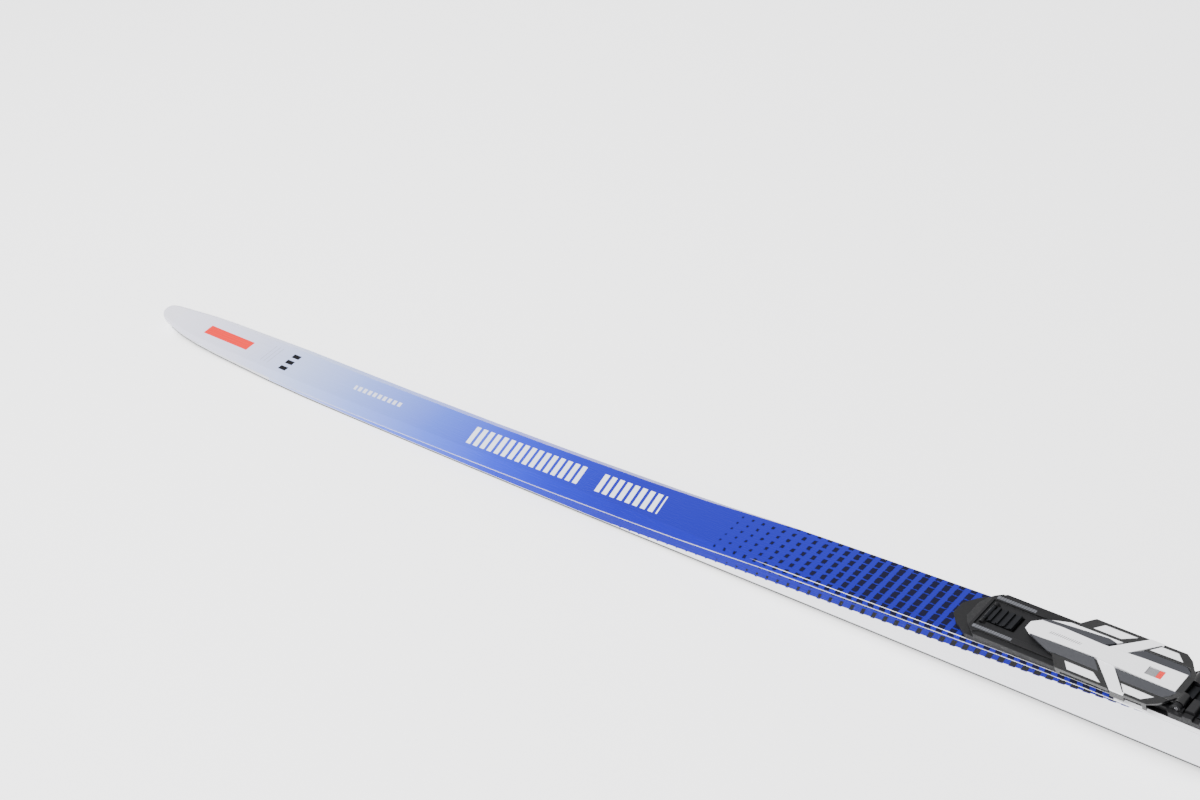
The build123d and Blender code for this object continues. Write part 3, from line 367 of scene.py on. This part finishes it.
def lever_shell_paint():
    """White over black: the shell's upper faces are white, the web under the wings is black."""
    paint = Paint("lever_shell", coat_weight=0.25, coat_roughness=0.15)
    along, across, height = paint.place()
    paint.soften_edges(0.35)
    paint.bump(paint.noise(6.0, 2.0), 0.03, 0.3)
    paint.roughness(paint.span(paint.noise(2.5, 3.0), 0.3, 0.7, 0.25, 0.36))
    shade = paint.mix(paint.span(paint.noise(14.0, 3.0), 0.35, 0.8, 0.0, 0.1), WHITE, tint(214, 214, 220))
    slanted = paint.math("ADD", along, paint.math("MULTIPLY", across, 0.3))
    bars = paint.all_of(paint.between(slanted, 929.0, 953.0, 0.2), paint.within(across, 0.5, 1.2, 0.2),
                        paint.within(paint.math("PINGPONG", slanted, 1.6), 0.8, 0.5, 0.2))
    shade = paint.mix(paint.math("MULTIPLY", bars, 0.7), shade, INK)
    low = paint.math("LESS_THAN", height, LEVER_WHITE_ABOVE)
    paint.colour(paint.mix(low, shade, tint(14, 14, 16)))
    return paint.material


def facet_paint():
    """Satin charcoal facets beside the spine, with a white rim on the outer edge of the right one."""
    paint = Paint("facet_grain", specular_ior_level=0.3)
    along, across, _ = paint.place()
    paint.soften_edges(0.35)
    paint.bump(paint.noise(0.45, 3.0), 0.03, 0.7)
    paint.roughness(paint.span(paint.noise(3.0, 3.0), 0.3, 0.7, 0.34, 0.5))
    edge = paint.math("MINIMUM", paint.span(along, 925.0, 965.0, 9.6, 13.4),
                      paint.span(along, 965.0, 985.0, 13.4, 8.0))
    rim = paint.all_of(paint.math("GREATER_THAN", paint.math("MULTIPLY", across, -1.0), edge),
                       paint.between(along, 918.0, 976.0))
    paint.colour(paint.mix(rim, tint(50, 51, 56), WHITE))
    return paint.material


def grained_plastic(name, shade, grain_mm=0.45, depth_mm=0.03, rough=0.46):
    """Dark moulded plastic with a fine spark-eroded grain, paler in patches that follow the grain."""
    paint = Paint(name, specular_ior_level=0.22)
    paint.soften_edges(0.35)
    grain = paint.noise(grain_mm, 3.0)
    paint.bump(grain, depth_mm, 0.7)
    paint.roughness(paint.span(paint.noise(3.0, 3.0), 0.3, 0.7, rough - 0.06, rough + 0.1))
    pale = tuple(min(1.0, 1.9 * part + 0.004) for part in shade[:3]) + (1.0,)
    paint.colour(paint.mix(paint.span(grain, 0.45, 0.8, 0.0, 0.5), shade, pale))
    return paint.material


def running_base_paint():
    """Sintered running base: carbon black, stone ground in fine lines along the ski."""
    paint = Paint("sintered_base", specular_ior_level=0.4)
    lines = paint.noise(0.35, 2.0, (90.0, 1.0, 90.0))
    paint.bump(lines, 0.03, 0.6)
    paint.roughness(paint.span(lines, 0.3, 0.7, 0.3, 0.5))
    flecks = paint.span(paint.noise(0.7, 2.0), 0.62, 0.75, 0.0, 0.35)
    paint.colour(paint.mix(flecks, tint(16, 16, 18), tint(52, 53, 58)))
    return paint.material


def laminate_paint():
    """Woven glass in clear resin, seen as a thin pale line between the layers."""
    paint = Paint("laminate_weave", roughness=0.35)
    along, across, _ = paint.place()
    weave = paint.math("MULTIPLY", paint.math("SINE", paint.math("MULTIPLY", along, 3.0)),
                       paint.math("SINE", paint.math("MULTIPLY", across, 3.0)))
    paint.bump(weave, 0.05, 0.5)
    paint.colour(paint.mix(paint.span(weave, -0.6, 0.6), tint(186, 188, 196), tint(214, 216, 222)))
    return paint.material


def core_paint():
    paint = Paint("core_foam", roughness=0.85)
    cells = paint.noise(0.8, 3.0)
    paint.bump(cells, 0.15, 0.8)
    paint.colour(paint.mix(cells, tint(196, 198, 206), tint(226, 228, 236)))
    return paint.material


def metal(name, shade, rough, brushed=(18.0, 1.0, 1.0)):
    paint = Paint(name, metallic=1.0)
    paint.soften_edges(0.2)
    lines = paint.noise(0.2, 2.0, brushed)
    paint.bump(lines, 0.01, 0.4)
    paint.roughness(paint.span(lines, 0.3, 0.7, rough - 0.06, rough + 0.08))
    paint.colour(paint.mix(paint.span(paint.noise(4.0, 2.0), 0.3, 0.8, 0.0, 0.4), shade,
                           tuple(0.7 * part for part in shade[:3]) + (1.0,)))
    return paint.material


def rubber(name, shade):
    paint = Paint(name, specular_ior_level=0.3)
    paint.soften_edges(0.4)
    grain = paint.noise(0.5, 3.0)
    paint.bump(grain, 0.06, 0.8)
    paint.roughness(paint.span(grain, 0.3, 0.7, 0.6, 0.8))
    paint.colour(paint.mix(grain, shade, tuple(1.6 * part for part in shade[:3]) + (1.0,)))
    return paint.material


FINISHES = {
    "base_black": running_base_paint(),
    "laminate": laminate_paint(),
    "core_foam": core_paint(),
    "sidewall_blue": side_paint(),
    "top_blue": top_paint(),
    "tip_white": gloss_shell("tip_shell", PALE, 0.24),
    "tail_white": gloss_shell("tail_shell", WHITE),
    "plate_black": grained_plastic("plate_grain", tint(13, 13, 15), 0.6),
    "screw_steel": metal("screw_steel", tint(176, 176, 180), 0.3),
    "toe_black": grained_plastic("toe_grain", tint(17, 17, 19), 0.5),
    "scale_grey": grained_plastic("scale_grey", tint(86, 87, 92), 0.4),
    "steel": metal("steel", tint(190, 190, 194), 0.26),
    "rubber_black": rubber("rubber", tint(18, 18, 20)),
    "lever_white": lever_shell_paint(),
    "frame_black": gloss_shell("frame_shell", tint(12, 12, 14), 0.3),
    "facet_grey": facet_paint(),
    "mark_red": gloss_shell("mark_red", RED),
    "heel_white": gloss_shell("heel_shell", tint(238, 238, 240)),
}

BLACKENED = ("jaw", "toe_bar_saddle", "position_clamp", "position_clamp_pin", "position_clamp_spring",
             "heel_clamp", "heel_clamp_pin", "heel_clamp_spring")


def dress_cad_nodes():
    """Give each CAD node its slot's finish. The small clamp and jaw parts are blackened steel."""
    slots = {part["node"]: part["material_slot"] for part in frame["record"]["subparts"]}
    blackened = metal("blackened_steel", tint(46, 47, 50), 0.42)
    for name, node in frame["nodes"].items():
        node.data.materials.clear()
        node.data.materials.append(blackened if name in BLACKENED else FINISHES[slots[name]])


def make_camera():
    """Camera above the ski's left rear, looking forward along it, with the tip at the upper left."""
    away = Vector((-math.sin(CAMERA_AZIMUTH) * math.cos(CAMERA_ELEVATION),
                   math.cos(CAMERA_AZIMUTH) * math.cos(CAMERA_ELEVATION),
                   math.sin(CAMERA_ELEVATION)))
    right = (-away).cross(Vector((0, 0, 1))).normalized()
    up = right.cross(-away)
    cosine, sine = math.cos(CAMERA_ROLL), math.sin(CAMERA_ROLL)
    right, up = cosine * right + sine * up, cosine * up - sine * right
    data = bpy.data.cameras.new("camera")
    data.sensor_width = SENSOR_WIDTH
    data.lens = CAMERA_FOCAL_PIXELS / PICTURE_WIDTH * SENSOR_WIDTH
    data.clip_start = 0.05
    camera = bpy.data.objects.new("camera", data)
    bpy.context.scene.collection.objects.link(camera)
    turn = Matrix((right, up, away)).transposed().to_4x4()
    camera.matrix_world = Matrix.Translation(CAMERA_TARGET + away * CAMERA_DISTANCE) @ turn
    bpy.context.scene.camera = camera


def make_floor():
    bpy.ops.mesh.primitive_plane_add(size=FLOOR_SIZE, location=(0, 0, CAD_BOX[0][2] - FLOOR_GAP))
    floor = bpy.context.object
    floor.name = "floor"
    paint = Paint("studio_floor", roughness=0.7)
    paint.colour(paint.mix(paint.noise(900.0, 1.0), tint(244, 244, 246), tint(249, 249, 250)))
    paint.shader.inputs["Emission Color"].default_value = (1.0, 1.0, 1.0, 1.0)
    paint.shader.inputs["Emission Strength"].default_value = FLOOR_GLOW
    floor.data.materials.append(paint.material)


def area_light(name, place, aim, size, power):
    data = bpy.data.lights.new(name, "AREA")
    data.shape = "RECTANGLE"
    data.size, data.size_y = size
    data.energy = power
    light = bpy.data.objects.new(name, data)
    light.location = place
    light.rotation_euler = (Vector(aim) - Vector(place)).to_track_quat("-Z", "Y").to_euler()
    bpy.context.scene.collection.objects.link(light)


def make_studio():
    make_floor()
    world = bpy.data.worlds.new("studio")
    bpy.context.scene.world = world
    world.use_nodes = True
    sky = world.node_tree.nodes["Background"]
    sky.inputs["Color"].default_value = (1.0, 1.0, 1.0, 1.0)
    sky.inputs["Strength"].default_value = SKY_STRENGTH
    area_light("key", (0.9, 0.6, 1.9), (0.2, 0.0, 0.0), (2.4, 1.2), KEY_POWER)
    area_light("front_fill", (-0.6, 1.6, 0.8), (0.1, 0.0, 0.0), (2.0, 0.6), FILL_POWER)


make_camera()
dress_cad_nodes()
make_studio()
